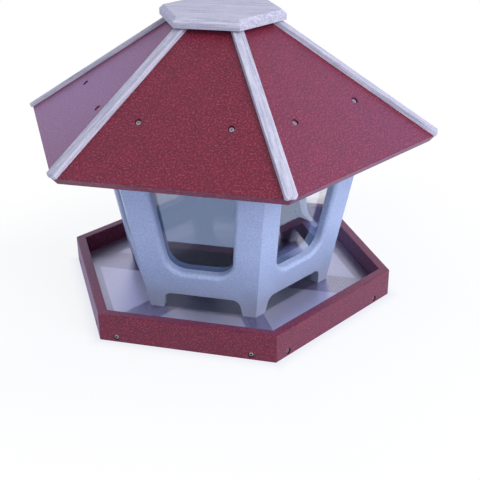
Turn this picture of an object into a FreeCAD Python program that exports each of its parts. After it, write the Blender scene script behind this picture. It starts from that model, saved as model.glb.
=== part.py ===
import FreeCAD, Part
import math
import os
from FreeCAD import Placement, Rotation, Vector

# Six-sided bird table: a tray with a screen floor, a hopper of leaning windowed panels
# and a hipped roof with a lift-off cap. Millimetres, +Z up, origin on the axis at the
# underside. Tray corners lie on +X and every sixth of a turn, one flat side faces -Y.

# Stock
sides = 6
board = 12.7                  # thickness of every board
eased_edge = 1.2              # rounding of the boards' handled edges

# Tray
tray_corner_radius = 228.6
rail_height = 38.1
floor_frame_height = 12.7     # ledgers, spokes and hub under the screen
ledger_width = 12.7
spoke_width = 25.4
hub_width = 76.2              # across its flats
screen_gauge = 0.9
screen_clearance = 0.5        # from the screen's edge to the rails

# Hopper
foot_corner_radius = 142.4    # outside corner of the hopper where it stands on the floor
hopper_lean = 10.0            # degrees, outwards
window_sill = 58.4            # along the panel, from the foot to the window
window_height = 150.0
window_stile = 35.0           # from the mitred edge to the window
window_corner = 25.0
window_roundover = 5.5
roundover_flat_count = 3      # narrow flats that stand for the roundover's quarter round
pane_thickness = 2.4
pane_overlap = 12.0           # what the pane covers of the panel round the window
notch_height = 24.9
notch_half_width = 53.5       # at the floor
notch_draft = 3.5             # what each side leans in from floor to top
notch_corner = 11.0

# Roof
eave_corner_radius = 266.0    # underside corner of the eave
eave_height = 225.4           # underside corner of the eave above the ground
roof_pitch = 36.25            # degrees
fill_half_width = 42.0        # from the axis to the flats of the filling hole
throat_land = 6.0             # upright wall round the filling hole
batten_width = 14.3
batten_rise = 4.5             # top of a batten above the hip line
batten_chamfer = 2.0
batten_overhang = 0.5         # past the corner of the eave

# Cap
cap_overhang = 6.0            # past the battens
cap_chamfer = 5.0
plug_depth = 12.7
plug_clearance = 1.5
cap_screw_circle = 22.0
cap_screw_count = 3

# Screws
screw_flat_count = 8          # flats that stand for the round of a screw and of its hole
screw_radius = 1.9
screw_clearance = 0.2
screw_point = 2.8
screw_head_radius = 3.6
screw_head_height = 2.0
recess_clearance = 0.5
recess_depth = 2.8
rail_screw_near = 22.0        # from a rail's left end
rail_screw_far = 32.0         # from a rail's right end
roof_screw_spread = 110.0     # between the two screws of a roof panel
rail_screw_bite = 9.0
roof_screw_bite = 14.0
foot_screw_bite = 18.0
pane_screw_bite = 8.0
cap_screw_bite = 8.0

# Derived sizes
spare = 5.0                   # how far a cutting tool reaches past what it cuts
touching = 0.01               # two points closer than this are one
sixth = 360.0 / sides
half_angle = math.radians(sixth / 2)
lean = math.radians(hopper_lean)
pitch = math.radians(roof_pitch)
tray_apothem = tray_corner_radius * math.cos(half_angle)
rail_inside = tray_apothem - board
ledger_inside = rail_inside - ledger_width
floor_top = floor_frame_height + screen_gauge
foot_apothem = foot_corner_radius * math.cos(half_angle)
eave_apothem = eave_corner_radius * math.cos(half_angle)
roof_rise = board / math.cos(pitch)
throat_height = eave_height + (eave_apothem - fill_half_width) * math.tan(pitch)
cap_seat = throat_height + throat_land
hip_pitch = math.atan(math.cos(half_angle) * math.tan(pitch))

panel_foot = Vector(foot_apothem, 0, floor_top)
panel_up = Vector(math.sin(lean), 0, math.cos(lean))
panel_out = Vector(math.cos(lean), 0, -math.sin(lean))
roof_out = Vector(math.sin(pitch), 0, math.cos(pitch))


def roof_underside(apothem):
    """Height of a roof panel's underside at a distance from the axis."""
    return eave_height + (eave_apothem - apothem) * math.tan(pitch)


def on_panel(across, up, depth=0.0):
    """Point on a hopper panel, from the middle of its outer foot line."""
    return panel_foot + Vector(0, across, 0) + panel_up * up - panel_out * depth


def panel_top(depth):
    """Distance up a hopper panel to the roof's underside, at a depth from its outer face."""
    start = on_panel(0, 0, depth)
    gap = roof_underside(start.x) - start.z
    return gap / (panel_up.z + panel_up.x * math.tan(pitch))


def panel_half_width(up):
    """Half the width of a hopper panel's outer face, between its mitred edges."""
    return on_panel(0, up).x * math.tan(half_angle)


def polygon(points):
    """Closed outline through the points."""
    return Part.makePolygon(points + points[:1])


def rounded(points, radii):
    """Closed outline through the points, with each corner rounded by its own radius."""
    edges = []
    ends = []
    for index, corner in enumerate(points):
        back = (points[index - 1] - corner).normalize()
        ahead = (points[(index + 1) % len(points)] - corner).normalize()
        middle = (back + ahead).normalize()
        half = back.getAngle(ahead) / 2
        radius = radii[index]
        start = corner + back * (radius / math.tan(half))
        end = corner + ahead * (radius / math.tan(half))
        crown = corner + middle * (radius / math.sin(half) - radius)
        if radius > 0:
            edges.append(Part.Arc(start, crown, end).toShape())
        ends.append((start, end))
    for index, (start, end) in enumerate(ends):
        following = ends[(index + 1) % len(ends)][0]
        edges.append(Part.LineSegment(end, following).toShape())
    return Part.Wire(Part.__sortEdges__(edges))


def on_circle(radius, degrees, height):
    """Point at a distance and an angle round the axis."""
    angle = math.radians(degrees)
    return Vector(radius * math.cos(angle), radius * math.sin(angle), height)


def ring(flats, corner_radius, height, turn=0.0):
    """Level outline with equal flats round the axis."""
    step = 360.0 / flats
    return polygon([on_circle(corner_radius, turn + index * step, height) for index in range(flats)])


def prism(flats, corner_radius, bottom, height, turn=0.0):
    """Upright bar with equal flats round the axis."""
    return Part.Face(ring(flats, corner_radius, bottom, turn)).extrude(Vector(0, 0, height))


def top_edges(shape):
    """Edges that lie level at the very top of a shape."""
    top = shape.BoundBox.ZMax
    return [edge for edge in shape.Edges if edge.BoundBox.ZMin > top - touching]


def sector(reach, bottom, top):
    """Wedge between two mitre planes, centred on +X."""
    half = reach * math.tan(half_angle)
    points = [Vector(0, 0, bottom), Vector(reach, -half, bottom), Vector(reach, half, bottom)]
    return Part.Face(polygon(points)).extrude(Vector(0, 0, top - bottom))


def mitred(outline):
    """Board with one cross-section along its whole length, cut off at both mitres."""
    box = outline.BoundBox
    reach = box.XMax + spare
    half = reach * math.tan(half_angle)
    outline.translate(Vector(0, -half, 0))
    length = Part.Face(outline).extrude(Vector(0, 2 * half, 0))
    return length.common(sector(reach, box.ZMin - spare, box.ZMax + spare))


def eased_bar(inside, outside, bottom, top, radii):
    """Cross-section of an upright bar between two distances from the axis."""
    points = [Vector(inside, 0, bottom), Vector(outside, 0, bottom)]
    points += [Vector(outside, 0, top), Vector(inside, 0, top)]
    return rounded(points, radii)


def screw(length):
    """Pan-head screw along -Z, with the underside of its head on the origin."""
    point = Part.Vertex(0, 0, -length)
    shoulder = ring(screw_flat_count, screw_radius, screw_point - length)
    shank = Part.makeLoft([point, shoulder, ring(screw_flat_count, screw_radius, 0)], True, True)
    return shank.fuse(prism(screw_flat_count, screw_head_radius, 0, screw_head_height))


def drill(depth):
    """Clearance hole below a recess for the head, from the board's face on the origin down."""
    shank = shank_hole(-depth - spare, 0)
    recess_radius = screw_head_radius + recess_clearance
    recess = prism(screw_flat_count, recess_radius, -recess_depth, recess_depth + spare)
    return shank.fuse(recess)


def shank_hole(bottom, top):
    """Cutter that clears a screw's shank."""
    return prism(screw_flat_count, screw_radius + screw_clearance, bottom, top - bottom)


def placed(shape, point, outward):
    """Copy with its origin moved to the point and its +Z turned outwards."""
    copy = shape.copy()
    copy.Placement = Placement(point, Rotation(Vector(0, 0, 1), outward))
    return copy


def turned(shape, degrees):
    """Copy turned about the table's axis."""
    copy = shape.copy()
    copy.rotate(Vector(), Vector(0, 0, 1), degrees)
    return copy


def rail_screw_seats():
    """Points and directions of the screws on a rail's outer face."""
    half = tray_apothem * math.tan(half_angle)
    middle = floor_frame_height / 2
    outward = Vector(1, 0, 0)
    near = Vector(tray_apothem, rail_screw_near - half, middle)
    far = Vector(tray_apothem, half - rail_screw_far, middle)
    return [(near, outward), (far, outward)]


def roof_screw_seats():
    """Points and directions of the screws on a roof panel, over the middle of the hopper's top edge."""
    outer = on_panel(0, panel_top(0.0))
    inner = on_panel(0, panel_top(board), board)
    middle = (outer + inner) * 0.5 + roof_out * board
    offset = Vector(0, roof_screw_spread / 2, 0)
    return [(middle - offset, roof_out), (middle + offset, roof_out)]


def foot_screw_seats():
    """Points and directions of the screws under a panel's two feet."""
    middle = foot_apothem - board / math.cos(lean) / 2
    foot_edge = middle * math.tan(half_angle)
    across = (notch_half_width + foot_edge) / 2
    down = Vector(0, 0, -1)
    return [(Vector(middle, -across, 0), down), (Vector(middle, across, 0), down)]


def pane_screw_seats():
    """Points and directions of the screws near a pane's corners."""
    inset = pane_overlap / 2
    depth = board + pane_thickness
    seats = []
    for up in (window_sill - inset, window_sill + window_height + inset):
        across = panel_half_width(up) - window_stile + inset
        seats.append((on_panel(-across, up, depth), panel_out * -1))
        seats.append((on_panel(across, up, depth), panel_out * -1))
    return seats


def tray_rail():
    """Side of the tray, with its fixing holes."""
    outline = eased_bar(rail_inside, tray_apothem, 0, rail_height, [0, eased_edge, eased_edge, eased_edge])
    rail = mitred(outline)
    for point, outward in rail_screw_seats():
        rail = rail.cut(placed(drill(board), point, outward))
    return rail


def floor_ledger():
    """Strip inside a rail that carries the edge of the screen."""
    return mitred(eased_bar(ledger_inside, rail_inside, 0, floor_frame_height, [0, 0, 0, 0]))


def floor_hub():
    """Block in the middle of the floor, with a flat towards each tray corner."""
    corner = hub_width / 2 / math.cos(half_angle)
    return prism(sides, corner, 0, floor_frame_height, sixth / 2)


def floor_spoke():
    """Bar along +X from the hub into a corner of the ledgers, under two hopper feet."""
    start = Vector(hub_width / 2, -spoke_width / 2, 0)
    bar = Part.makeBox(tray_corner_radius, spoke_width, floor_frame_height, start)
    ledger_corner = ledger_inside / math.cos(half_angle)
    spoke = bar.common(prism(sides, ledger_corner, -spare, floor_frame_height + 2 * spare))
    for turn in (-sixth / 2, sixth / 2):
        for point, outward in foot_screw_seats():
            hole = turned(placed(drill(floor_frame_height), point, outward), turn)
            spoke = spoke.cut(hole)
    return spoke


def floor_screen():
    """Screen over the ledgers, spokes and hub, pierced by the foot screws."""
    corner = (rail_inside - screen_clearance) / math.cos(half_angle)
    sheet = prism(sides, corner, floor_frame_height, screen_gauge)
    hole = shank_hole(-spare, spare)
    for index in range(sides):
        for point, outward in foot_screw_seats():
            lifted = Vector(point.x, point.y, floor_top)
            sheet = sheet.cut(turned(placed(hole, lifted, outward), (index + 0.5) * sixth))
    return sheet


def window_outline(grow, corner):
    """Window outline on the outer face, grown on every side."""
    low = window_sill - grow
    high = window_sill + window_height + grow
    low_half = panel_half_width(low) - window_stile + grow
    high_half = panel_half_width(high) - window_stile + grow
    points = [on_panel(-low_half, low), on_panel(low_half, low)]
    points += [on_panel(high_half, high), on_panel(-high_half, high)]
    return rounded(points, [corner] * len(points))


def notch_outline():
    """Seed gap at the foot, drawn on the outer face and running past the panel's foot."""
    top_half = notch_half_width - notch_draft
    points = [on_panel(-notch_half_width, -spare), on_panel(notch_half_width, -spare)]
    points += [on_panel(top_half, notch_height), on_panel(-top_half, notch_height)]
    return rounded(points, [0, 0, notch_corner, notch_corner])


def notch_cutter():
    """Cutter that takes the seed gap square through a hopper panel."""
    cutter = Part.Face(notch_outline()).extrude(panel_out * -(board + 2 * spare))
    cutter.translate(panel_out * spare)
    return cutter


def window_cutter():
    """Cutter for the window: square through, widened by the roundover at the outer face."""
    steps = [(-spare, window_roundover)]
    for index in range(roundover_flat_count + 1):
        angle = math.radians(90) * index / roundover_flat_count
        steps.append((window_roundover * (1 - math.cos(angle)), window_roundover * (1 - math.sin(angle))))
    steps.append((board + spare, 0.0))
    outlines = []
    for depth, grow in steps:
        outline = window_outline(grow, window_corner + grow)
        outline.translate(panel_out * -depth)
        outlines.append(outline)
    return Part.makeLoft(outlines, True, True)


def hopper_panel():
    """Leaning side of the hopper: mitred, bevelled under the roof, with window and seed gap."""
    outline = polygon([
        on_panel(0, 0),
        on_panel(0, panel_top(0.0)),
        on_panel(0, panel_top(board), board),
        Vector(foot_apothem - board / math.cos(lean), 0, floor_top),
    ])
    return mitred(outline).cut(window_cutter()).cut(notch_cutter())


def window_pane():
    """Clear pane on the inner face of a hopper panel."""
    outline = window_outline(pane_overlap, 0.0)
    outline.translate(panel_out * -board)
    pane = Part.Face(outline).extrude(panel_out * -pane_thickness)
    hole = shank_hole(-spare, spare)
    for point, outward in pane_screw_seats():
        pane = pane.cut(placed(hole, point, outward))
    return pane


def roof_panel():
    """Side of the roof: square-cut at the eave, upright then level round the filling hole."""
    top_at_seat = fill_half_width + (roof_rise - throat_land) / math.tan(pitch)
    eave = Vector(eave_apothem, 0, eave_height)
    outline = rounded([
        eave,
        eave + roof_out * board,
        Vector(top_at_seat, 0, cap_seat),
        Vector(fill_half_width, 0, cap_seat),
        Vector(fill_half_width, 0, throat_height),
    ], [eased_edge, eased_edge, 0, 0, 0])
    panel = mitred(outline)
    for point, outward in roof_screw_seats():
        panel = panel.cut(placed(drill(board), point, outward))
    return panel


def hip_batten():
    """Chamfered strip along a hip on +X, hollowed underneath to sit on both roof panels."""
    along = Vector(math.cos(hip_pitch), 0, -math.sin(hip_pitch))
    upward = Vector(math.sin(hip_pitch), 0, math.cos(hip_pitch))
    roof_normal = on_circle(math.sin(pitch), sixth / 2, math.cos(pitch))
    fall = roof_normal.y / roof_normal.dot(upward)
    corner_radius = (eave_apothem + board * math.sin(pitch)) / math.cos(half_angle)
    lower_end = Vector(corner_radius, 0, eave_height + board * math.cos(pitch)) + along * batten_overhang
    half = batten_width / 2
    shape = [(0, 0), (half, -half * fall), (half, batten_rise - batten_chamfer)]
    shape += [(half - batten_chamfer, batten_rise), (batten_chamfer - half, batten_rise)]
    shape += [(-half, batten_rise - batten_chamfer), (-half, -half * fall)]
    points = [lower_end + Vector(0, across, 0) + upward * rise for across, rise in shape]
    strip = Part.Face(polygon(points)).extrude(along * -corner_radius / math.cos(hip_pitch))
    end_rim = [edge for edge in strip.Edges if is_end_rim(edge, lower_end, along)]
    strip = strip.makeChamfer(batten_chamfer, end_rim)
    below_cap = Part.makeBox(corner_radius * 2, batten_width * 2, cap_seat, Vector(0, -batten_width, 0))
    return strip.common(below_cap)


def is_end_rim(edge, lower_end, along):
    """Whether an edge goes round a batten's lower end, leaving out its hollowed underside."""
    on_end = all(abs((vertex.Point - lower_end).dot(along)) < touching for vertex in edge.Vertexes)
    on_hip = any(vertex.Point.distanceToPoint(lower_end) < touching for vertex in edge.Vertexes)
    return on_end and not on_hip


def batten_reach():
    """Distance from the axis to the outer corner of a batten's level top end."""
    hip_radius = (fill_half_width + (roof_rise - throat_land) / math.tan(pitch)) / math.cos(half_angle)
    return hip_radius + batten_rise / math.sin(hip_pitch)


def cap_board():
    """Lid that lies on the roof panels' and battens' level top ends."""
    corner_radius = batten_reach() + batten_width / 2 * math.tan(half_angle) + cap_overhang
    lid = prism(sides, corner_radius, cap_seat, board)
    return lid.makeChamfer(cap_chamfer, top_edges(lid))


def cap_screw_seats():
    """Points and directions of the screws up through the plug."""
    seats = []
    for index in range(cap_screw_count):
        point = on_circle(cap_screw_circle, index * 360.0 / cap_screw_count, cap_seat - plug_depth)
        seats.append((point, Vector(0, 0, -1)))
    return seats


def cap_plug():
    """Block under the lid that centres it in the filling hole."""
    corner_radius = (fill_half_width - plug_clearance) / math.cos(half_angle)
    plug = prism(sides, corner_radius, cap_seat - plug_depth, plug_depth)
    for point, outward in cap_screw_seats():
        plug = plug.cut(placed(drill(plug_depth), point, outward))
    return plug


def screw_group(length, seats, recess, turns):
    """Screws of one length at every seat of every turn, sunk by the recess."""
    one = screw(length)
    screws = []
    for degrees in turns:
        for point, outward in seats:
            screws.append(turned(placed(one, point - outward * recess, outward), degrees))
    return Part.makeCompound(screws)


def write(node, shape):
    """Write one node as a STEP file and say what it holds."""
    shape.exportStep("parts/" + node + ".step")
    print(node, "solids", len(shape.Solids), "valid", shape.isValid(), "volume", round(shape.Volume, 1))


os.makedirs("parts", exist_ok=True)

face_turns = [(index + 0.5) * sixth for index in range(sides)]
corner_turns = [index * sixth for index in range(sides)]
face_boards = {
    "tray_rail": tray_rail(),
    "floor_ledger": floor_ledger(),
    "hopper_panel": hopper_panel(),
    "window_pane": window_pane(),
    "roof_panel": roof_panel(),
}
corner_boards = {
    "floor_spoke": floor_spoke(),
    "hip_batten": hip_batten(),
}
for name, shape in face_boards.items():
    for number, degrees in enumerate(face_turns, start=1):
        write(name + "_" + str(number), turned(shape, degrees))
for name, shape in corner_boards.items():
    for number, degrees in enumerate(corner_turns, start=1):
        write(name + "_" + str(number), turned(shape, degrees))

write("floor_hub", floor_hub())
write("floor_screen", floor_screen())
write("cap_board", cap_board())
write("cap_plug", cap_plug())

rail_length = board - recess_depth + rail_screw_bite
roof_length = board - recess_depth + roof_screw_bite
foot_length = floor_top - recess_depth + foot_screw_bite
pane_length = pane_thickness + pane_screw_bite
cap_length = plug_depth - recess_depth + cap_screw_bite
write("rail_screws", screw_group(rail_length, rail_screw_seats(), recess_depth, face_turns))
write("roof_screws", screw_group(roof_length, roof_screw_seats(), recess_depth, face_turns))
write("foot_screws", screw_group(foot_length, foot_screw_seats(), recess_depth, face_turns))
write("pane_screws", screw_group(pane_length, pane_screw_seats(), 0.0, face_turns))
write("cap_screws", screw_group(cap_length, cap_screw_seats(), recess_depth, [0.0]))
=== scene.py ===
import math

import bmesh
import bpy
from mathutils import Matrix, Vector


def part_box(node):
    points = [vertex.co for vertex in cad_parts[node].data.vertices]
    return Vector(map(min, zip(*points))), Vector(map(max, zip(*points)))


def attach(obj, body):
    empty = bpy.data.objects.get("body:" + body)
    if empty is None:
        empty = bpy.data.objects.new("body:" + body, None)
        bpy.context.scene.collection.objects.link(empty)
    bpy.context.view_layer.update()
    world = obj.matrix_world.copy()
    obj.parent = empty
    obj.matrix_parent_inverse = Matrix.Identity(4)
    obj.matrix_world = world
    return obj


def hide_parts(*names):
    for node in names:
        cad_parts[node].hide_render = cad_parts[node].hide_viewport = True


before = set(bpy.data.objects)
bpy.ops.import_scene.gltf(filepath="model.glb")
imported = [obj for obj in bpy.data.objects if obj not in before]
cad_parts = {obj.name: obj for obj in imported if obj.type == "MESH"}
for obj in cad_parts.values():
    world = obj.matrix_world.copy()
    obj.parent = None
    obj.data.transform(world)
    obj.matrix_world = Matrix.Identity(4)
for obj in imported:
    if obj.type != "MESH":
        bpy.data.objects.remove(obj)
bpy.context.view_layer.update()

# Six-sided bird table. Metres, origin on its axis at the tray's underside, +Z up.
MM = 0.001
UP = Vector((0, 0, 1))
SIDES = 6
SIXTH = 2 * math.pi / SIDES
BOARD = 12.7 * MM

# Tray, taken from its front rail, its hub and its screen
rail_low, rail_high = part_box("tray_rail_5")
screen_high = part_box("floor_screen")[1]
TRAY_APOTHEM = -rail_low.y
RAIL_HEIGHT = rail_high.z
FRAME_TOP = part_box("floor_hub")[1].z
SCREEN_CORNER = screen_high.x
FLOOR_TOP = screen_high.z
WIRE_WIDTH = 0.82 * MM
WIRE_HEIGHT = 0.14 * MM
WIRE_PITCH = 1.9 * MM

# Hopper
FOOT_CORNER = 142.4 * MM
FOOT_APOTHEM = FOOT_CORNER * math.cos(SIXTH / 2)
LEAN = math.radians(10.0)
WINDOW_SILL = 58.4 * MM
WINDOW_HEIGHT = 150.0 * MM
WINDOW_STILE = 35.0 * MM
WINDOW_CORNER = 25.0 * MM
WINDOW_ROUNDOVER = 5.5 * MM
NOTCH_HEIGHT = 24.9 * MM
NOTCH_HALF_WIDTH = 53.5 * MM
NOTCH_DRAFT = 3.5 * MM
NOTCH_CORNER = 11.0 * MM
PANE_THICKNESS = 2.4 * MM
FRONT_PANE = 5

# Roof
EAVE_CORNER = 266.0 * MM
EAVE_APOTHEM = EAVE_CORNER * math.cos(SIXTH / 2)
EAVE_HEIGHT = 225.4 * MM
PITCH = math.radians(36.25)
HIP_PITCH = math.atan(math.cos(SIXTH / 2) * math.tan(PITCH))
FILL_HALF_WIDTH = 42.0 * MM
CAP_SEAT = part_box("cap_board")[0].z
BATTEN_WIDTH = 14.3 * MM
BATTEN_RISE = 4.5 * MM
BATTEN_SETBACK = 0.15 * MM
BATTEN_END_CHAMFER = 2.4 * MM

# Oversize of a hopper panel's blank, before it is sawn to its outline
BLANK_HEIGHT = WINDOW_SILL + WINDOW_HEIGHT * 1.3
BLANK_SPREAD = 1.2
BLANK_DROP = BOARD * 2

# Where the screws sit, and how deep they bite
RECESS_RADIUS = 4.1 * MM
RECESS_DEPTH = 2.8 * MM
RAIL_SCREW_NEAR = 22.0 * MM
RAIL_SCREW_FAR = 32.0 * MM
ROOF_SCREW_SPREAD = 110.0 * MM
PANE_SCREW_INSET = 6.0 * MM
CAP_SCREW_CIRCLE = 22.0 * MM
CAP_SCREW_COUNT = 3
RAIL_SCREW_BITE = 9.0 * MM
ROOF_SCREW_BITE = 14.0 * MM
FOOT_SCREW_BITE = 18.0 * MM
PANE_SCREW_BITE = 8.0 * MM
CAP_SCREW_BITE = 8.0 * MM

# A screw. Its crown is given as shares of the head's radius and height.
SHANK_RADIUS = 1.9 * MM
TIP_RADIUS = SHANK_RADIUS * 0.1
SCREW_POINT = 2.8 * MM
THREAD_PITCH = 1.8 * MM
THREAD_ROOT = 1.45 * MM
HEAD_RADIUS = 3.4 * MM
HEAD_HEIGHT = 1.3 * MM
HEAD_CROWN = ((1, 0), (1, 0.45), (0.93, 0.75), (0.78, 0.94), (0.55, 1))
DRIVE_HALF_WIDTH = 1.25 * MM
DRIVE_TAPER = 0.92
DRIVE_FLOOR = 0.25

# Softened edges
RAIL_EASE = 1.2 * MM
RAIL_EASE_STEPS = 4
BATTEN_EASE = 0.8 * MM
BATTEN_EASE_STEPS = 3
PANE_EASE = 0.25 * MM
CRISP = 0.35 * MM
CRISP_STEPS = 2
SHARP = math.radians(35)
PARALLEL = 0.999

# How finely round stretches are divided
ARC_STEPS = 12
ROUNDOVER_STEPS = 8
CIRCLE_STEPS = 32
SCREW_STEPS = 16

# Points that count as one, and faces that count as flat
SAW_TOLERANCE = 1e-7
SAME_POINT = 1e-6
SAME_PLANE = math.radians(0.5)

# Recycled-plastic board
CLOUD_SIZE = 22 * MM
CLOUD_SHARE = 0.3
STREAK_SIZE = 2.5 * MM
STREAK_STRETCH = (0.06, 1, 1)
STREAK_SHARE = 0.25
GRAIN_SIZE = 1.9 * MM
GRAIN_RELIEF = 0.5
SHADE_RANGE = (0.55, 0.98)
LIGHT_FLECK_SIZE = 2.3 * MM
LIGHT_FLECK_SHIFT = (0.3, 0.1, 0.2)
LIGHT_FLECK_RANGE = (0.46, 0.68)
DARK_FLECK_SIZE = 2.6 * MM
DARK_FLECK_SHIFT = (0.7, 0.5, 0.4)
DARK_FLECK_RANGE = (0.48, 0.68)
FLECK_STRENGTH = 0.65
RELIEF_SIZE = 1.6 * MM
RELIEF_DEPTH = 0.5 * MM
BOARD_ROUGHNESS = 0.34
BOARD_ROUGHNESS_SPREAD = 0.22
BOARD_IOR = 1.5
SHEEN_ROUGHNESS = 0.45
FOOT_DARKENING_HEIGHT = 66 * MM
FOOT_DARKENING_WANDER = 22 * MM
FOOT_DARKENING_STRENGTH = 0.8
BURGUNDY = {
    "body": (0.190, 0.006, 0.013, 1),
    "light": (0.34, 0.055, 0.085, 1),
    "dark": (0.09, 0.002, 0.005, 1),
    "reflection": (0.66, 0.70, 1.0, 1),
    "relief_strength": 0.6,
}
ROOF_SHEEN = {"sheen": 0.24, "sheen_tint": (0.42, 0.38, 0.86, 1)}
TRAY_SHEEN = {"sheen": 0.36, "sheen_tint": (0.42, 0.50, 1.0, 1)}
GREY = {
    "body": (0.42, 0.495, 0.69, 1),
    "light": (0.52, 0.59, 0.79, 1),
    "dark": (0.34, 0.40, 0.58, 1),
    "reflection": (1, 1, 1, 1),
    "relief_strength": 0.35,
    "sheen": 0.1,
    "sheen_tint": (0.7, 0.8, 1.0, 1),
    "darker_foot": (0.37, 0.36, 0.42, 1),
}

# Trim board
FIBRE_SIZE = 2.0 * MM
FIBRE_STRETCH = (0.05, 1, 1)
FIBRE_DEPTH = 0.25 * MM
FIBRE_RELIEF = 0.4
BAND_SIZE = 5 * MM
BAND_STRETCH = (0.02, 1, 1)
BAND_SHARE = 0.3
MOTTLE_SIZE = 3 * MM
MOTTLE_SHARE = 0.2
TRIM_SHADE_RANGE = (0.55, 0.92)
TRIM_DARK = (0.35, 0.34, 0.41, 1)
TRIM_LIGHT = (0.60, 0.555, 0.61, 1)
TRIM_ROUGHNESS = 0.5
TRIM_ROUGHNESS_SPREAD = 0.15
TRIM_SPECULAR = 0.25

# Metals
WIRE_DULLING_SIZE = 9 * MM
WIRE_DULL = (0.50, 0.50, 0.66, 1)
WIRE_BRIGHT = (0.60, 0.60, 0.80, 1)
# Painted shade: the wires under the hopper take this darker, bluer colour.
WIRE_PAINTED_SHADE = (0.25, 0.29, 0.44, 1)
WIRE_ROUGHNESS = 0.27
WIRE_ROUGHNESS_SPREAD = 0.14
WIRE_SHADE_EDGE = FOOT_APOTHEM * 0.96
STEEL_DULLING_SIZE = 1.5 * MM
STEEL_DULL = (0.14, 0.14, 0.17, 1)
STEEL_BRIGHT = (0.50, 0.50, 0.55, 1)
STEEL_ROUGHNESS = 0.25
STEEL_ROUGHNESS_SPREAD = 0.3

# Panes
CLEAR_PANE = {
    "tint": (0.93, 0.94, 1.0, 1),
    "reflection": (0.52, 0.67, 1.0, 1),
    "ior": 2.4,
    "film": 0,
}
# Front pane: its dark tint is painted shade, standing in for the dark hopper seen behind it.
PAINTED_SHADE_PANE = {
    "tint": (0.20, 0.21, 0.24, 1),
    "reflection": (0.48, 0.62, 1.0, 1),
    "ior": 3.2,
    "film": 0.14,
}
PANE_DUST_SIZE = 40 * MM
PANE_DUST_ROUGHNESS = 0.03
PANE_FILM_COLOUR = (0.75, 0.9, 1.0, 1)
PANE_FILM_ROUGHNESS = 0.8
PANE_SHADOW = (0.09, 0.10, 0.13, 1)

# Studio
FLOOR_RADIUS = 12
FLOOR_STEPS = 64
FLOOR_WHITE = 0.88
FLOOR_MATT = (0.78, 0.81, 0.90, 1)
# Painted shade: under the tray the floor's glow takes this dimmer bluish colour, fading to white
# past the tray.
UNDER_TRAY_PAINTED_SHADE = (0.46, 0.48, 0.74, 1)
PAINTED_SHADE_END = TRAY_APOTHEM * 0.8
OPEN_FLOOR_START = TRAY_APOTHEM * 1.1
SHADOW_CORE = 100 * MM
SHADOW_REACH = 112 * MM
SHADOW_FADE = 200 * MM
SHADOW_END = 500 * MM
WHITE = (1, 1, 1, 1)
BLACK = (0, 0, 0, 1)
WORLD_COLOUR = (0.76, 0.83, 1.0, 1)
WORLD_STRENGTH = 0.68
LAMP_COLOUR = (0.88, 0.92, 1.0)
RIM_COLOUR = (0.35, 0.40, 1.0)

# Camera
CAMERA_PLACE = Vector((0.2969, -1.0814, 0.6162))
CAMERA_RIGHT = Vector((0.9700, 0.2431, -0.0108))
CAMERA_RAISED = Vector((-0.0990, 0.4349, 0.8950))
CAMERA_LENS = 66.86
CAMERA_SENSOR = 36

# Sockets of a Mix node through which colours go
MIX_PLAIN = 6
MIX_MIXED = 7
MIX_RESULT = 2


def bearing(number):
    """Direction in which a numbered face board looks."""
    return (number - 0.5) * SIXTH


def outwards(turn):
    """Level direction away from the axis."""
    return Vector((math.cos(turn), math.sin(turn), 0))


def seated(origin, across, up, out):
    """Matrix that takes a board drawn in X and Y, with its face looking along Z, to its place."""
    turn = Matrix((across, up, out)).transposed().to_4x4()
    return Matrix.Translation(origin) @ turn


def rail_place(turn):
    """Where a rail's outer face lies, from the middle of its lower edge."""
    out = outwards(turn)
    return seated(out * TRAY_APOTHEM, UP.cross(out), UP, out)


def panel_place(turn):
    """Where a hopper panel's outer face lies, from the middle of its foot."""
    level = outwards(turn)
    up = UP * math.cos(LEAN) + level * math.sin(LEAN)
    out = level * math.cos(LEAN) - UP * math.sin(LEAN)
    return seated(level * FOOT_APOTHEM + UP * FLOOR_TOP, UP.cross(level), up, out)


def roof_place(turn):
    """Where a roof panel's outer face lies, from the middle of its eave."""
    level = outwards(turn)
    out = UP * math.cos(PITCH) + level * math.sin(PITCH)
    up = UP * math.sin(PITCH) - level * math.cos(PITCH)
    eave = level * EAVE_APOTHEM + UP * EAVE_HEIGHT
    return seated(eave + out * BOARD, UP.cross(level), up, out)


def hip_place(turn):
    """Where a batten lies: X down the hip, Z square to it, from the middle of its lower end."""
    level = outwards(turn)
    along = level * math.cos(HIP_PITCH) - UP * math.sin(HIP_PITCH)
    upward = level * math.sin(HIP_PITCH) + UP * math.cos(HIP_PITCH)
    reach = (EAVE_APOTHEM + BOARD * math.sin(PITCH)) / math.cos(SIXTH / 2)
    corner = level * reach + UP * (EAVE_HEIGHT + BOARD * math.cos(PITCH))
    return seated(corner - along * BATTEN_SETBACK, along, upward.cross(along), upward)


def spoke_place(turn):
    """Where a spoke lies: X from the axis outwards, Z up."""
    level = outwards(turn)
    return seated(Vector(), level, UP.cross(level), UP)


def panel_half_width(up):
    """Half the width of a hopper panel's outer face, between its mitred edges."""
    return (FOOT_APOTHEM + up * math.sin(LEAN)) * math.tan(SIXTH / 2)


def arc(centre, radius, start, sweep, steps):
    """Points along an arc, angles in degrees."""
    points = []
    for index in range(steps + 1):
        angle = math.radians(start + sweep * index / steps)
        x = centre[0] + radius * math.cos(angle)
        y = centre[1] + radius * math.sin(angle)
        points.append((x, y))
    return points


def circle(centre, radius, steps):
    """Points round a full circle."""
    return arc(centre, radius, 0, 360, steps)[:-1]


def rectangle(half_width, low, high):
    """Outline symmetrical about the board's middle."""
    return [(-half_width, low), (half_width, low), (half_width, high), (-half_width, high)]


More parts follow.
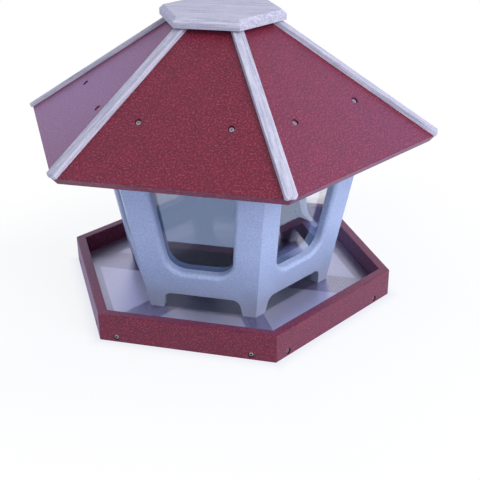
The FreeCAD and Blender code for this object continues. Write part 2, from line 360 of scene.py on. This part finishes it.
def window_outline(grow):
    """Window in a hopper panel, grown on every side, with its corners rounded."""
    low = WINDOW_SILL - grow
    high = WINDOW_SILL + WINDOW_HEIGHT + grow
    radius = WINDOW_CORNER + grow
    low_half = panel_half_width(low) - WINDOW_STILE + grow
    high_half = panel_half_width(high) - WINDOW_STILE + grow
    slope = math.degrees(math.atan2(high_half - low_half, high - low))
    low_inset = radius / math.tan(math.radians(90 + slope) / 2)
    high_inset = radius / math.tan(math.radians(90 - slope) / 2)
    points = arc((high_half - high_inset, high - radius), radius, -slope, 90 + slope, ARC_STEPS)
    points += arc((high_inset - high_half, high - radius), radius, 90, 90 + slope, ARC_STEPS)
    points += arc((low_inset - low_half, low + radius), radius, 180 + slope, 90 - slope, ARC_STEPS)
    points += arc((low_half - low_inset, low + radius), radius, 270, 90 - slope, ARC_STEPS)
    return points


def window_wall():
    """Loops down through a window: a quarter round, then straight."""
    outlines = []
    for index in range(ROUNDOVER_STEPS + 1):
        angle = math.radians(90) * index / ROUNDOVER_STEPS
        grow = WINDOW_ROUNDOVER * (1 - math.sin(angle))
        outlines.append((window_outline(grow), WINDOW_ROUNDOVER * (1 - math.cos(angle))))
    return outlines + [(window_outline(0), BOARD)]


def notch_outline():
    """Seed gap at the foot of a hopper panel, running on below its foot."""
    slope = math.degrees(math.atan(NOTCH_DRAFT / NOTCH_HEIGHT))
    top_half = NOTCH_HALF_WIDTH - NOTCH_DRAFT
    inset = NOTCH_CORNER * math.tan(math.radians(90 - slope) / 2)
    centre = (top_half - inset, NOTCH_HEIGHT - NOTCH_CORNER)
    points = [(-NOTCH_HALF_WIDTH, 0), (-NOTCH_HALF_WIDTH, -BOARD)]
    points += [(NOTCH_HALF_WIDTH, -BOARD), (NOTCH_HALF_WIDTH, 0)]
    points += arc(centre, NOTCH_CORNER, slope, 90 - slope, ARC_STEPS)
    points += arc((-centre[0], centre[1]), NOTCH_CORNER, 90, 90 - slope, ARC_STEPS)
    return points


def batten_outline(inset):
    """Section of a batten, hollowed underneath to sit on both roof panels."""
    roof = outwards(SIXTH / 2) * math.sin(PITCH) + UP * math.cos(PITCH)
    fall = roof.y / (roof.x * math.sin(HIP_PITCH) + roof.z * math.cos(HIP_PITCH))
    half = BATTEN_WIDTH / 2 - inset
    top = BATTEN_RISE - inset
    return [(0, 0), (half, -half * fall), (half, top), (-half, top), (-half, -half * fall)]


def recess(centre):
    """Loops of the pocket that a screw head sits in."""
    outline = circle(centre, RECESS_RADIUS, CIRCLE_STEPS)
    return [(outline, 0), (outline, RECESS_DEPTH)]


def square_drive(half_width):
    """Outline of a screw's square recess, with as many points as its head."""
    points = []
    for index in range(SCREW_STEPS):
        angle = 2 * math.pi * index / SCREW_STEPS
        reach = half_width / max(abs(math.cos(angle)), abs(math.sin(angle)))
        points.append((reach * math.cos(angle), reach * math.sin(angle)))
    return points


def loop(bm, points, depth):
    """Closed loop of edges at a depth below a board's face."""
    corners = [bm.verts.new((x, y, -depth)) for x, y in points]
    return [bm.edges.new((corners[index - 1], corner)) for index, corner in enumerate(corners)]


def stack(bm, outlines):
    """Wall through loops at growing depths. Returns its first and last loop."""
    loops = [loop(bm, points, depth) for points, depth in outlines]
    for upper, lower in zip(loops, loops[1:]):
        bmesh.ops.bridge_loops(bm, edges=upper + lower)
    return loops[0], loops[-1]


def close(bm, *rims):
    """Fills flat rims."""
    for rim in rims:
        bmesh.ops.triangle_fill(bm, edges=rim, use_beauty=True)


def plate(outline, openings, pockets, place):
    """Board with openings through it and blind pockets in its face, taken to its place."""
    bm = bmesh.new()
    face, back = stack(bm, [(outline, 0), (outline, BOARD)])
    for outlines in openings:
        first, last = stack(bm, outlines)
        face = face + first
        back = back + last
    for outlines in pockets:
        first, last = stack(bm, outlines)
        face = face + first
        close(bm, last)
    close(bm, face, back)
    bmesh.ops.recalc_face_normals(bm, faces=bm.faces)
    bmesh.ops.transform(bm, matrix=place, verts=bm.verts)
    return bm


def saw(bm, point, normal):
    """Cuts off what lies beyond a plane and closes the cut."""
    whole = bm.verts[:] + bm.edges[:] + bm.faces[:]
    result = bmesh.ops.bisect_plane(
        bm, geom=whole, dist=SAW_TOLERANCE, plane_co=point, plane_no=normal, clear_outer=True
    )
    close(bm, [item for item in result["geom_cut"] if isinstance(item, bmesh.types.BMEdge)])


def mitre(bm, turn):
    """Cuts both ends of a face board on the planes through the tray's corners."""
    for side in (-1, 1):
        corner = turn + side * SIXTH / 2
        saw(bm, Vector(), UP.cross(outwards(corner)) * side)


def tidy(bm):
    """Joins the triangles of each flat face, with all faces looking outwards."""
    bmesh.ops.remove_doubles(bm, verts=bm.verts, dist=SAME_POINT)
    bmesh.ops.dissolve_limit(bm, angle_limit=SAME_PLANE, verts=bm.verts, edges=bm.edges)
    bmesh.ops.recalc_face_normals(bm, faces=bm.faces)


def ease(bm, width, steps, along=None):
    """Rounds the sharp edges, or only those that run in one direction."""
    chosen = []
    for edge in bm.edges:
        if len(edge.link_faces) == 2 and edge.calc_face_angle() > SHARP:
            run = (edge.verts[1].co - edge.verts[0].co).normalized()
            if along is None or abs(run.dot(along)) > PARALLEL:
                chosen.append(edge)
    bmesh.ops.bevel(
        bm, geom=chosen, offset=width, offset_type="OFFSET", segments=steps, profile=0.5,
        affect="EDGES", clamp_overlap=True, material=-1
    )


def finish_piece(name, bm, place, material, body, node):
    """Makes the object that stands for a CAD node, with its own positions on the board."""
    mesh = bpy.data.meshes.new(name)
    bm.to_mesh(mesh)
    bm.free()
    to_board = place.inverted()
    board = mesh.attributes.new("board", "FLOAT_VECTOR", "POINT")
    for index, vertex in enumerate(mesh.vertices):
        board.data[index].vector = to_board @ vertex.co
    mesh.shade_smooth()
    mesh.set_sharp_from_angle(angle=SHARP)
    mesh.materials.append(material)
    piece = bpy.data.objects.new(name, mesh)
    bpy.context.scene.collection.objects.link(piece)
    flat = piece.modifiers.new("flat_faces", "WEIGHTED_NORMAL")
    flat.keep_sharp = True
    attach(piece, body)
    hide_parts(node)


def rail_screw_spots():
    """Screws on a rail's outer face."""
    half = TRAY_APOTHEM * math.tan(SIXTH / 2)
    return [(RAIL_SCREW_NEAR - half, FRAME_TOP / 2), (half - RAIL_SCREW_FAR, FRAME_TOP / 2)]


def roof_screw_spots():
    """Screws on a roof panel's outer face, over the middle of the hopper's top edge."""
    top = Vector((math.cos(PITCH), -math.sin(PITCH)))
    heights = []
    for depth in (0.0, BOARD):
        start = Vector((FOOT_APOTHEM - depth * math.cos(LEAN), FLOOR_TOP + depth * math.sin(LEAN)))
        gap = EAVE_HEIGHT + (EAVE_APOTHEM - start.x) * math.tan(PITCH) - start.y
        run = gap / (math.cos(LEAN) + math.sin(LEAN) * math.tan(PITCH))
        meet = start + Vector((math.sin(LEAN), math.cos(LEAN))) * run
        heights.append((Vector((EAVE_APOTHEM, EAVE_HEIGHT)) - meet).dot(top))
    up = sum(heights) / len(heights)
    return [(-ROOF_SCREW_SPREAD / 2, up), (ROOF_SCREW_SPREAD / 2, up)]


def tray_rail(number, material):
    """Side of the tray."""
    turn = bearing(number)
    place = rail_place(turn)
    pockets = [recess(spot) for spot in rail_screw_spots()]
    bm = plate(rectangle(TRAY_APOTHEM, 0, RAIL_HEIGHT), [], pockets, place)
    tidy(bm)
    ease(bm, RAIL_EASE, RAIL_EASE_STEPS, UP.cross(outwards(turn)))
    mitre(bm, turn)
    tidy(bm)
    ease(bm, CRISP, CRISP_STEPS)
    node = "tray_rail_%d" % number
    finish_piece("rail_%d" % number, bm, place, material, "feeder", node)


def hopper_panel(number, material):
    """Leaning side of the hopper, with its rounded-over window and the seed gap."""
    turn = bearing(number)
    place = panel_place(turn)
    notch = [(notch_outline(), 0), (notch_outline(), BOARD)]
    blank = rectangle(panel_half_width(BLANK_HEIGHT) * BLANK_SPREAD, -BLANK_DROP, BLANK_HEIGHT)
    bm = plate(blank, [window_wall(), notch], [], place)
    level = outwards(turn)
    eave = level * EAVE_APOTHEM + UP * EAVE_HEIGHT
    saw(bm, eave, UP * math.cos(PITCH) + level * math.sin(PITCH))
    saw(bm, UP * FLOOR_TOP, -UP)
    mitre(bm, turn)
    tidy(bm)
    ease(bm, CRISP, CRISP_STEPS)
    node = "hopper_panel_%d" % number
    finish_piece("panel_%d" % number, bm, place, material, "feeder", node)


def roof_panel(number, material):
    """Side of the roof."""
    turn = bearing(number)
    place = roof_place(turn)
    level = outwards(turn)
    pockets = [recess(spot) for spot in roof_screw_spots()]
    length = EAVE_APOTHEM / math.cos(PITCH)
    bm = plate(rectangle(EAVE_APOTHEM, 0, length), [], pockets, place)
    tidy(bm)
    saw(bm, UP * CAP_SEAT, UP)
    saw(bm, level * FILL_HALF_WIDTH, -level)
    tidy(bm)
    ease(bm, RAIL_EASE, RAIL_EASE_STEPS, UP.cross(level))
    mitre(bm, turn)
    tidy(bm)
    ease(bm, CRISP, CRISP_STEPS)
    node = "roof_panel_%d" % number
    finish_piece("roof_%d" % number, bm, place, material, "feeder", node)


def hip_batten(number, material):
    """Strip over a hip, chamfered at its lower end and cut level under the cap."""
    place = hip_place(bearing(number) - SIXTH / 2)
    along, across, upward = (place.col[index].to_3d() for index in range(3))
    bm = bmesh.new()
    ends = stack(bm, [
        (batten_outline(BATTEN_END_CHAMFER), 0),
        (batten_outline(0), BATTEN_END_CHAMFER),
        (batten_outline(0), EAVE_CORNER / math.cos(PITCH)),
    ])
    close(bm, *ends)
    on_end = seated(place.translation, across, upward, along)
    bmesh.ops.transform(bm, matrix=on_end, verts=bm.verts)
    bmesh.ops.recalc_face_normals(bm, faces=bm.faces)
    saw(bm, UP * CAP_SEAT, UP)
    tidy(bm)
    ease(bm, BATTEN_EASE, BATTEN_EASE_STEPS, along)
    ease(bm, CRISP, CRISP_STEPS)
    node = "hip_batten_%d" % number
    finish_piece("batten_%d" % number, bm, place, material, "feeder", node)


def softened(node, width, place, material, body):
    """Copy of a CAD piece with its edges softened."""
    bm = bmesh.new()
    bm.from_mesh(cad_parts[node].data)
    tidy(bm)
    ease(bm, width, CRISP_STEPS)
    finish_piece(node + "_board", bm, place, material, body, node)


def screw(bm, length, place):
    """Pan-head screw with a square recess, the underside of its head on the place's origin."""
    shank = circle((0, 0), SHANK_RADIUS, SCREW_STEPS)
    root = circle((0, 0), THREAD_ROOT, SCREW_STEPS)
    outlines = [(circle((0, 0), TIP_RADIUS, SCREW_STEPS), length)]
    depth = length - SCREW_POINT
    while depth > THREAD_PITCH:
        outlines += [(shank, depth), (root, depth - THREAD_PITCH * 0.5)]
        depth -= THREAD_PITCH
    outlines += [(shank, depth), (shank, 0)]
    for width, height in HEAD_CROWN:
        crown = circle((0, 0), HEAD_RADIUS * width, SCREW_STEPS)
        outlines.append((crown, -HEAD_HEIGHT * height))
    outlines.append((square_drive(DRIVE_HALF_WIDTH), -HEAD_HEIGHT))
    outlines.append((square_drive(DRIVE_HALF_WIDTH * DRIVE_TAPER), -HEAD_HEIGHT * DRIVE_FLOOR))
    before = len(bm.verts)
    close(bm, *stack(bm, outlines))
    bm.verts.ensure_lookup_table()
    bmesh.ops.transform(bm, matrix=place, verts=bm.verts[before:])


def screw_group(name, length, places, material, body):
    """All screws of one kind as one piece."""
    bm = bmesh.new()
    for place in places:
        screw(bm, length, place)
    bmesh.ops.recalc_face_normals(bm, faces=bm.faces)
    finish_piece(name + "_turned", bm, Matrix(), material, body, name)


def sunk(place, spots):
    """Places of screw heads that are sunk into a board's face."""
    return [place @ Matrix.Translation((x, y, -RECESS_DEPTH)) for x, y in spots]


def rail_screw_places(turn):
    """Screws through a rail into its ledger."""
    return sunk(rail_place(turn), rail_screw_spots())


def roof_screw_places(turn):
    """Screws through a roof panel into the hopper's top edge."""
    return sunk(roof_place(turn), roof_screw_spots())


def foot_screw_places(turn):
    """Screws up through the spokes into a panel's two feet."""
    level = outwards(turn)
    middle = FOOT_APOTHEM - BOARD / math.cos(LEAN) / 2
    across = (NOTCH_HALF_WIDTH + middle * math.tan(SIXTH / 2)) / 2
    place = seated(level * middle, UP.cross(level), level, -UP)
    return sunk(place, [(-across, 0), (across, 0)])


def pane_screw_places(turn):
    """Screws at a pane's corners, from inside the hopper."""
    turned = Matrix.Rotation(math.pi, 4, "Y")
    places = []
    for up in (WINDOW_SILL - PANE_SCREW_INSET, WINDOW_SILL + WINDOW_HEIGHT + PANE_SCREW_INSET):
        across = panel_half_width(up) - WINDOW_STILE + PANE_SCREW_INSET
        for side in (-1, 1):
            spot = Matrix.Translation((side * across, up, -BOARD - PANE_THICKNESS))
            places.append(panel_place(turn) @ spot @ turned)
    return places


def cap_screw_places():
    """Screws up through the plug into the cap."""
    places = []
    for index in range(CAP_SCREW_COUNT):
        level = outwards(index * 2 * math.pi / CAP_SCREW_COUNT)
        origin = level * CAP_SCREW_CIRCLE + UP * (CAP_SEAT - BOARD)
        places += sunk(seated(origin, UP.cross(level), level, -UP), [(0, 0)])
    return places


def wire(bm, start, end):
    """One straight wire of the screen, rolled flat."""
    run = end - start
    across = UP.cross(run).normalized()
    place = seated((start + end) / 2, across * WIRE_WIDTH, UP * WIRE_HEIGHT, run)
    bmesh.ops.create_cube(bm, size=1, matrix=place)


def woven_screen(material):
    """Screen of two crossing layers of fine wires, cut to the tray's hexagon."""
    bm = bmesh.new()
    flat = SCREEN_CORNER * math.cos(SIXTH / 2)
    upper = FLOOR_TOP - WIRE_HEIGHT / 2
    lower = upper - WIRE_HEIGHT
    count = int(flat / WIRE_PITCH)
    for index in range(-count, count + 1):
        y = index * WIRE_PITCH
        half = SCREEN_CORNER - abs(y) * math.tan(SIXTH / 2)
        wire(bm, Vector((-half, y, lower)), Vector((half, y, lower)))
    count = int(SCREEN_CORNER / WIRE_PITCH)
    for index in range(-count, count + 1):
        x = index * WIRE_PITCH
        half = min(flat, (SCREEN_CORNER - abs(x)) / math.tan(SIXTH / 2))
        wire(bm, Vector((x, -half, upper)), Vector((x, half, upper)))
    finish_piece("screen_wires", bm, Matrix(), material, "feeder", "floor_screen")


class Signal:
    """Output of a shader node that arithmetic can be written on."""

    def __init__(self, finish, socket):
        self.finish = finish
        self.socket = socket

    def __add__(self, other):
        return self.finish.maths("ADD", self, other)

    def __sub__(self, other):
        return self.finish.maths("SUBTRACT", self, other)

    def __rsub__(self, other):
        return self.finish.maths("SUBTRACT", other, self)

    def __mul__(self, other):
        return self.finish.maths("MULTIPLY", self, other)

    __radd__ = __add__
    __rmul__ = __mul__


class Finish:
    """Material, or the world, put together node by node."""

    def __init__(self, holder):
        self.holder = holder
        holder.use_nodes = True
        self.tree = holder.node_tree
        self.tree.nodes.clear()

    def node(self, kind, values, output=0, **settings):
        """Any node: its settings first, then the values or links of its sockets."""
        made = self.tree.nodes.new(kind)
        for name, setting in settings.items():
            setattr(made, name, setting)
        for name, value in values.items():
            if isinstance(value, Signal):
                self.tree.links.new(value.socket, made.inputs[name])
            else:
                made.inputs[name].default_value = value
        return Signal(self, made.outputs[output]) if made.outputs else None

    def maths(self, operation, first, second):
        """Math node on two numbers."""
        return self.node("ShaderNodeMath", {0: first, 1: second}, operation=operation)

    def mix(self, factor, plain_colour, mixed_colour):
        """Colour between two colours."""
        values = {"Factor": factor, MIX_PLAIN: plain_colour, MIX_MIXED: mixed_colour}
        return self.node("ShaderNodeMix", values, MIX_RESULT, data_type="RGBA")

    def between(self, value, start, end):
        """0 up to the start value, 1 from the end value on, smooth between them."""
        values = {"Value": value, "From Min": start, "From Max": end}
        return self.node("ShaderNodeMapRange", values, interpolation_type="SMOOTHSTEP")

    def place(self):
        """Position in the whole object, in metres."""
        return self.node("ShaderNodeTexCoord", {}, "Object")

    def board(self, stretch=(1, 1, 1), offset=(0, 0, 0)):
        """Position on the board, in metres: X along it, Y up its face, Z out of it."""
        place = self.node("ShaderNodeAttribute", {}, "Vector", attribute_name="board")
        values = {"Vector": place, "Location": offset, "Scale": stretch}
        return self.node("ShaderNodeMapping", values)

    def noise(self, place, size, detail=2.0, roughness=0.5):
        """Noise whose blotches are about as large as the size."""
        values = {"Vector": place, "Scale": 1 / size, "Detail": detail, "Roughness": roughness}
        return self.node("ShaderNodeTexNoise", values)

    def bump(self, height, distance, strength):
        """Surface relief."""
        values = {"Height": height, "Distance": distance, "Strength": strength}
        return self.node("ShaderNodeBump", values)

    def shader(self, values):
        """Main shader."""
        return self.node("ShaderNodeBsdfPrincipled", values)

    def blend(self, share, first, second):
        """Shader between two shaders."""
        return self.node("ShaderNodeMixShader", {"Fac": share, 1: first, 2: second})

    def ray(self, kind):
        """What the light path says of the ray that arrives."""
        return self.node("ShaderNodeLightPath", {}, kind)

    def done(self, shader, kind="ShaderNodeOutputMaterial"):
        """Joins the shader to the output. Returns the finished material or world."""
        self.node(kind, {"Surface": shader})
        return self.holder


def new_finish(name):
    """Material that is to be put together."""
    return Finish(bpy.data.materials.new(name))


def speckled(name, body, light, dark, reflection, relief_strength, sheen, sheen_tint, darker_foot=None):
    """Recycled-plastic board: light and dark flecks, faint streaks, and a darker colour towards its
    foot if given.
    """
    finish = new_finish(name)
    place = finish.board()
    cloud = finish.noise(place, CLOUD_SIZE)
    streaks = finish.noise(finish.board(stretch=STREAK_STRETCH), STREAK_SIZE, detail=3)
    grain = finish.noise(place, GRAIN_SIZE, detail=3, roughness=0.6)
    light_noise = finish.noise(finish.board(offset=LIGHT_FLECK_SHIFT), LIGHT_FLECK_SIZE, detail=3)
    dark_noise = finish.noise(finish.board(offset=DARK_FLECK_SHIFT), DARK_FLECK_SIZE, detail=3)
    light_flecks = finish.between(light_noise, *LIGHT_FLECK_RANGE)
    dark_flecks = finish.between(dark_noise, *DARK_FLECK_RANGE)
    shade = finish.between(grain + cloud * CLOUD_SHARE + streaks * STREAK_SHARE, *SHADE_RANGE)
    colour = finish.mix(shade, dark, body)
    colour = finish.mix(light_flecks * FLECK_STRENGTH, colour, light)
    colour = finish.mix(dark_flecks * FLECK_STRENGTH, colour, dark)
    # Darker colour towards the foot of the board.
    if darker_foot:
        height = finish.node("ShaderNodeSeparateXYZ", {"Vector": place}, "Y")
        towards_foot = finish.between(height + cloud * FOOT_DARKENING_WANDER, FOOT_DARKENING_HEIGHT, 0)
        colour = finish.mix(towards_foot * FOOT_DARKENING_STRENGTH, colour, darker_foot)
    relief = finish.noise(place, RELIEF_SIZE, detail=3, roughness=0.6)
    return finish.done(finish.shader({
        "Base Color": colour,
        "Roughness": BOARD_ROUGHNESS + grain * BOARD_ROUGHNESS_SPREAD,
        "IOR": BOARD_IOR,
        "Specular Tint": reflection,
        "Sheen Weight": sheen,
        "Sheen Roughness": SHEEN_ROUGHNESS,
        "Sheen Tint": sheen_tint,
        "Normal": finish.bump(relief + grain * GRAIN_RELIEF, RELIEF_DEPTH, relief_strength),
    }))


def streaked_trim():
    """Near-white board with fine streaks along its length."""
    finish = new_finish("streaked_trim")
    fibres = finish.noise(finish.board(stretch=FIBRE_STRETCH), FIBRE_SIZE, detail=4, roughness=0.7)
    bands = finish.noise(finish.board(stretch=BAND_STRETCH), BAND_SIZE)
    mottle = finish.noise(finish.board(), MOTTLE_SIZE, detail=3)
    shade = finish.between(fibres + bands * BAND_SHARE + mottle * MOTTLE_SHARE, *TRIM_SHADE_RANGE)
    return finish.done(finish.shader({
        "Base Color": finish.mix(shade, TRIM_DARK, TRIM_LIGHT),
        "Roughness": TRIM_ROUGHNESS + fibres * TRIM_ROUGHNESS_SPREAD,
        "Specular IOR Level": TRIM_SPECULAR,
        "Normal": finish.bump(fibres, FIBRE_DEPTH, FIBRE_RELIEF),
    }))


def from_axis(finish, place):
    """Distance from the axis to a hexagon through the place, square to the tray's sides."""
    distance = 0
    for number in range(1, SIDES // 2 + 1):
        values = {0: place, 1: outwards(bearing(number))}
        span = finish.node("ShaderNodeVectorMath", values, "Value", operation="DOT_PRODUCT")
        distance = finish.maths("MAXIMUM", distance, finish.maths("ABSOLUTE", span, 0))
    return distance


def screen_wire():
    """Bright aluminium wire, with painted shade: darker and bluer under the hopper."""
    finish = new_finish("screen_wire")
    place = finish.place()
    dulling = finish.noise(place, WIRE_DULLING_SIZE, detail=3)
    unshaded = finish.mix(dulling, WIRE_DULL, WIRE_BRIGHT)
    # Painted shade: darker, bluer wire inside the hopper's foot.
    outside = finish.between(from_axis(finish, place), WIRE_SHADE_EDGE, FOOT_APOTHEM)
    return finish.done(finish.shader({
        "Base Color": finish.mix(outside, WIRE_PAINTED_SHADE, unshaded),
        "Metallic": 1,
        "Roughness": WIRE_ROUGHNESS + dulling * WIRE_ROUGHNESS_SPREAD,
    }))


def screw_steel():
    """Dulled stainless steel."""
    finish = new_finish("screw_steel")
    dulling = finish.noise(finish.place(), STEEL_DULLING_SIZE, detail=3)
    return finish.done(finish.shader({
        "Base Color": finish.mix(dulling, STEEL_DULL, STEEL_BRIGHT),
        "Metallic": 1,
        "Roughness": STEEL_ROUGHNESS + dulling * STEEL_ROUGHNESS_SPREAD,
    }))


def clear_pane(name, tint, reflection, ior, film):
    """Polished acrylic that lets lamps through, with a film of dust if any, tinted by its own
    colour or by painted shade.
    """
    finish = new_finish(name)
    dust = finish.noise(finish.place(), PANE_DUST_SIZE, detail=4, roughness=0.6)
    clear = finish.shader({
        "Base Color": tint,
        "Specular Tint": reflection,
        "Roughness": dust * PANE_DUST_ROUGHNESS,
        "IOR": ior,
        "Transmission Weight": 1,
        "Sheen Weight": film,
        "Sheen Tint": PANE_FILM_COLOUR,
        "Sheen Roughness": PANE_FILM_ROUGHNESS,
    })
    lamps_through = finish.node("ShaderNodeBsdfTransparent", {"Color": PANE_SHADOW})
    return finish.done(finish.blend(finish.ray("Is Shadow Ray"), clear, lamps_through))


def strayed(finish):
    """1 for light that a matt surface has already scattered."""
    return finish.maths("GREATER_THAN", finish.ray("Diffuse Depth"), 0)


def seen_directly(finish):
    """1 where the camera, a reflection or a pane looks at the surroundings, 0 for stray light."""
    looks = 0
    for kind in ("Is Camera Ray", "Is Glossy Ray", "Is Transmission Ray"):
        looks = finish.maths("MAXIMUM", looks, finish.ray(kind))
    return looks * (1 - strayed(finish))


def pale_floor():
    """White floor that keeps the shadow; under the tray its glow is painted shade, a dimmer bluish
    colour.
    """
    finish = new_finish("pale_floor")
    matt = finish.node("ShaderNodeBsdfDiffuse", {"Color": FLOOR_MATT})
    distance = from_axis(finish, finish.place())
    open_floor = finish.between(distance, PAINTED_SHADE_END, OPEN_FLOOR_START)
    # Painted shade: the glow is dimmer and bluish under the tray and white beyond it.
    colour = finish.mix(open_floor, UNDER_TRAY_PAINTED_SHADE, WHITE)
    white = finish.node("ShaderNodeEmission", {"Color": colour, "Strength": 1})
    near = finish.between(distance, SHADOW_CORE, SHADOW_REACH) * FLOOR_WHITE
    far = finish.between(distance, SHADOW_FADE, SHADOW_END) * (1 - FLOOR_WHITE)
    return finish.done(finish.blend(seen_directly(finish) * (near + far), matt, white))


def pale_surroundings():
    """Even light that shows as white."""
    finish = Finish(bpy.data.worlds.new("studio"))
    even_light = {"Color": WORLD_COLOUR, "Strength": WORLD_STRENGTH}
    even = finish.node("ShaderNodeBackground", even_light)
    white = finish.node("ShaderNodeBackground", {"Color": WHITE, "Strength": 1})
    mixed = finish.blend(seen_directly(finish), even, white)
    dark = finish.node("ShaderNodeBackground", {"Color": BLACK, "Strength": 0})
    through_pane = finish.ray("Is Transmission Ray") * strayed(finish)
    return finish.done(finish.blend(through_pane, mixed, dark), "ShaderNodeOutputWorld")


def floor_disc(material):
    """Ground that the object stands on."""
    mesh = bpy.data.meshes.new("floor")
    bm = bmesh.new()
    bmesh.ops.create_circle(bm, cap_ends=True, radius=FLOOR_RADIUS, segments=FLOOR_STEPS)
    bm.to_mesh(mesh)
    bm.free()
    floor = bpy.data.objects.new("floor", mesh)
    bpy.context.scene.collection.objects.link(floor)
    mesh.materials.append(material)


def lamp(name, colour, place, aim, size, watts):
    """Soft square lamp that looks at a point."""
    light = bpy.data.lights.new(name, "AREA")
    light.color = colour
    light.size = size
    light.energy = watts
    holder = bpy.data.objects.new(name, light)
    holder.location = place
    holder.rotation_euler = (Vector(aim) - Vector(place)).to_track_quat("-Z", "Y").to_euler()
    bpy.context.scene.collection.objects.link(holder)


def camera_at(place, right, raised):
    """Camera with its picture's right and upward directions."""
    data = bpy.data.cameras.new("camera")
    data.lens = CAMERA_LENS
    data.sensor_width = CAMERA_SENSOR
    camera = bpy.data.objects.new("camera", data)
    camera.matrix_world = seated(place, right, raised, right.cross(raised))
    bpy.context.scene.collection.objects.link(camera)
    bpy.context.scene.camera = camera


# Finishes
burgundy = speckled("burgundy_board", **BURGUNDY, **ROOF_SHEEN)
tray_burgundy = speckled("tray_burgundy", **BURGUNDY, **TRAY_SHEEN)
grey = speckled("grey_board", **GREY)
trim = streaked_trim()
steel = screw_steel()
pane = clear_pane("clear_pane", **CLEAR_PANE)
painted_shade_pane = clear_pane("painted_shade_pane", **PAINTED_SHADE_PANE)

# Boards, panes and battens
for number in range(1, SIDES + 1):
    face = bearing(number)
    ledger = "floor_ledger_%d" % number
    spoke = "floor_spoke_%d" % number
    window = "window_pane_%d" % number
    corner_place = spoke_place(face - SIXTH / 2)
    # The front pane's dark tint is painted shade.
    glazing = painted_shade_pane if number == FRONT_PANE else pane
    tray_rail(number, tray_burgundy)
    hopper_panel(number, grey)
    roof_panel(number, burgundy)
    softened(ledger, CRISP, rail_place(face), burgundy, "feeder")
    softened(spoke, CRISP, corner_place, burgundy, "feeder")
    hip_batten(number, trim)
    softened(window, PANE_EASE, panel_place(face), glazing, "feeder")
softened("floor_hub", CRISP, Matrix(), burgundy, "feeder")
softened("cap_board", CRISP, Matrix(), trim, "cap")
softened("cap_plug", CRISP, Matrix(), trim, "cap")
woven_screen(screen_wire())

# Screws
through_board = BOARD - RECESS_DEPTH
for name, length, places_at in (
    ("rail_screws", through_board + RAIL_SCREW_BITE, rail_screw_places),
    ("roof_screws", through_board + ROOF_SCREW_BITE, roof_screw_places),
    ("foot_screws", FLOOR_TOP - RECESS_DEPTH + FOOT_SCREW_BITE, foot_screw_places),
    ("pane_screws", PANE_THICKNESS + PANE_SCREW_BITE, pane_screw_places),
):
    places = sum((places_at(bearing(number)) for number in range(1, SIDES + 1)), [])
    screw_group(name, length, places, steel, "feeder")
screw_group("cap_screws", through_board + CAP_SCREW_BITE, cap_screw_places(), steel, "cap")

# Studio
floor_disc(pale_floor())
bpy.context.scene.world = pale_surroundings()
lamp("key", LAMP_COLOUR, (1.3, -0.8, 1.2), aim=(0, 0, 0.15), size=0.9, watts=25)
lamp("fill", LAMP_COLOUR, (-1.2, -1.2, 1.0), aim=(0, 0, 0.15), size=1.2, watts=3)
lamp("rim_right", RIM_COLOUR, (0.90, 0.70, 0.95), aim=(0.2, -0.1, 0.28), size=0.6, watts=2.6)
lamp("rim_left", RIM_COLOUR, (-1.35, 0.95, 0.75), aim=(-0.1, -0.05, 0.4), size=0.8, watts=3.5)
camera_at(CAMERA_PLACE, CAMERA_RIGHT, CAMERA_RAISED)
bpy.context.scene.view_settings.view_transform = "Standard"
